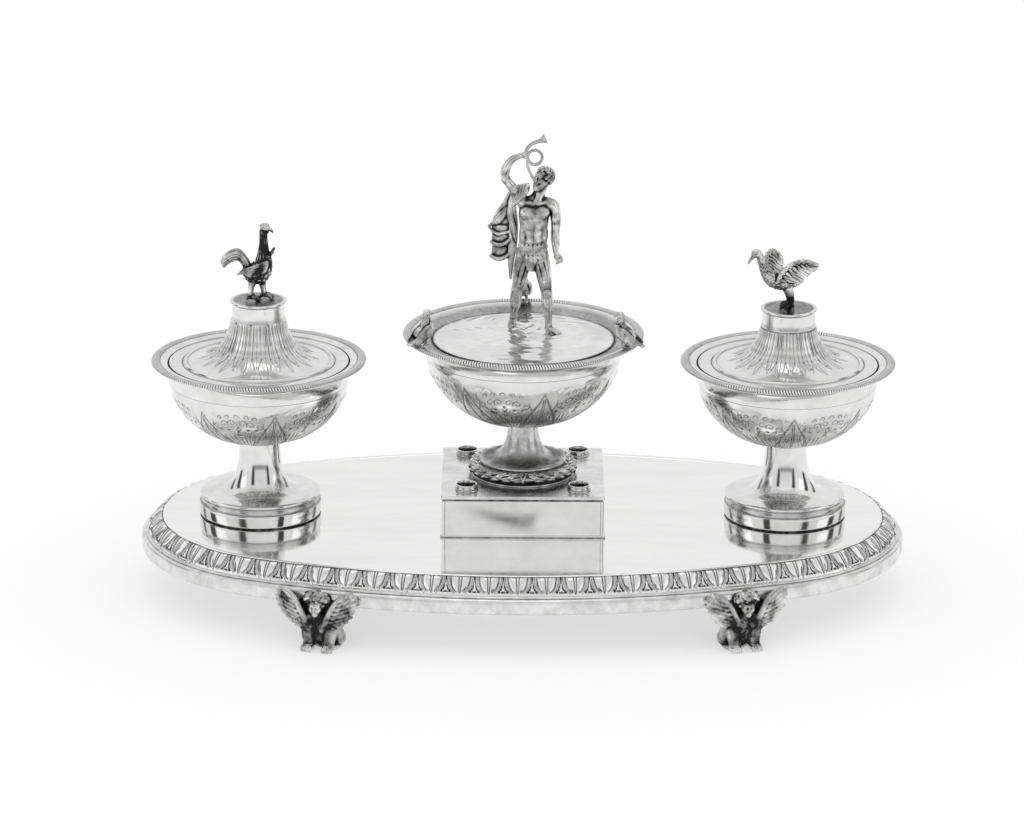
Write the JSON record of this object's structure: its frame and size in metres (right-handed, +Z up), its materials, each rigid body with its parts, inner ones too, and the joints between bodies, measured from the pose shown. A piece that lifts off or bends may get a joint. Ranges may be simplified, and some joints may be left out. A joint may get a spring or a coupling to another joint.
{
  "type": "desk inkstand",
  "caption": "Silver desk inkstand: oval footed tray with two lidded pots, a pen plinth and a tall bowl whose water-chased cover carries a standing figure with a horn.",
  "frame": {"origin": "on the desk under the middle of the oval tray", "axes": "+X along the tray towards the right pot, +Y to the back, +Z up"},
  "size_m": [0.3636, 0.206, 0.2197],
  "materials": {
    "polished_silver": "mirror-polished sterling silver with dark oxide in the chased lines",
    "cast_silver": "cast and chased silver, oxidised in its recesses",
    "dark_fixings": "dull silver and steel fixings",
    "clear_glass": "clear blown glass"
  },
  "bodies": {
    "stand": {"tray_plate": "polished_silver", "tray_fillet": "polished_silver", "leaf_border": "polished_silver", "bead_wire": "polished_silver", "border_backing": "polished_silver", "tray_band": "polished_silver", "foot_plates": "dark_fixings", "foot_front_left": "cast_silver", "foot_front_right": "cast_silver", "foot_back_left": "cast_silver", "foot_back_right": "cast_silver", "foot_studs": "dark_fixings", "foot_nuts": "dark_fixings", "pot_seats": "polished_silver", "plinth_walls": "polished_silver", "plinth_top": "polished_silver", "pen_socket_front_left": "polished_silver", "pen_socket_front_right": "polished_silver", "pen_socket_back_left": "polished_silver", "pen_socket_back_right": "polished_silver", "wreath_ring": "cast_silver", "centre_foot": "polished_silver", "centre_bowl": "polished_silver", "centre_rim": "polished_silver", "centre_gadroon": "polished_silver", "tie_rod": "dark_fixings", "tie_nuts": "dark_fixings", "rim_bird_left": "cast_silver", "rim_bird_right": "cast_silver", "rim_bird_back": "cast_silver"},
    "centre_cover": {"water_cover": "polished_silver", "figure": "cast_silver", "drapery": "cast_silver", "leaf_girdle": "cast_silver", "horn": "polished_silver", "figure_nuts": "dark_fixings"},
    "left_pot": {"left_pot_foot": "polished_silver", "left_pot_bowl": "polished_silver", "left_pot_rim": "polished_silver", "left_gadroon": "polished_silver", "left_pot_bolt": "dark_fixings", "ink_liner": "clear_glass"},
    "left_cover": {"left_lid": "polished_silver", "left_lid_cap": "polished_silver", "left_finial": "cast_silver", "left_finial_nut": "dark_fixings"},
    "right_pot": {"right_pot_foot": "polished_silver", "right_pot_bowl": "polished_silver", "right_pot_rim": "polished_silver", "right_gadroon": "polished_silver", "right_pot_bolt": "dark_fixings", "pounce_liner": "polished_silver", "sifter": "polished_silver"},
    "right_cover": {"right_lid": "polished_silver", "right_lid_cap": "polished_silver", "right_finial": "cast_silver", "right_finial_nut": "dark_fixings"}
  },
  "joints": [
    {"name": "left_pot_lift", "type": "slide", "parent": "stand", "child": "left_pot", "axis": [0, 0, 1], "range_m": [0, 0.06]},
    {"name": "right_pot_lift", "type": "slide", "parent": "stand", "child": "right_pot", "axis": [0, 0, 1], "range_m": [0, 0.06]},
    {"name": "left_lid_lift", "type": "slide", "parent": "left_pot", "child": "left_cover", "axis": [0, 0, 1], "range_m": [0, 0.06]},
    {"name": "right_lid_lift", "type": "slide", "parent": "right_pot", "child": "right_cover", "axis": [0, 0, 1], "range_m": [0, 0.06]},
    {"name": "centre_cover_lift", "type": "slide", "parent": "stand", "child": "centre_cover", "axis": [0, 0, 1], "range_m": [0, 0.06]}
  ]
}
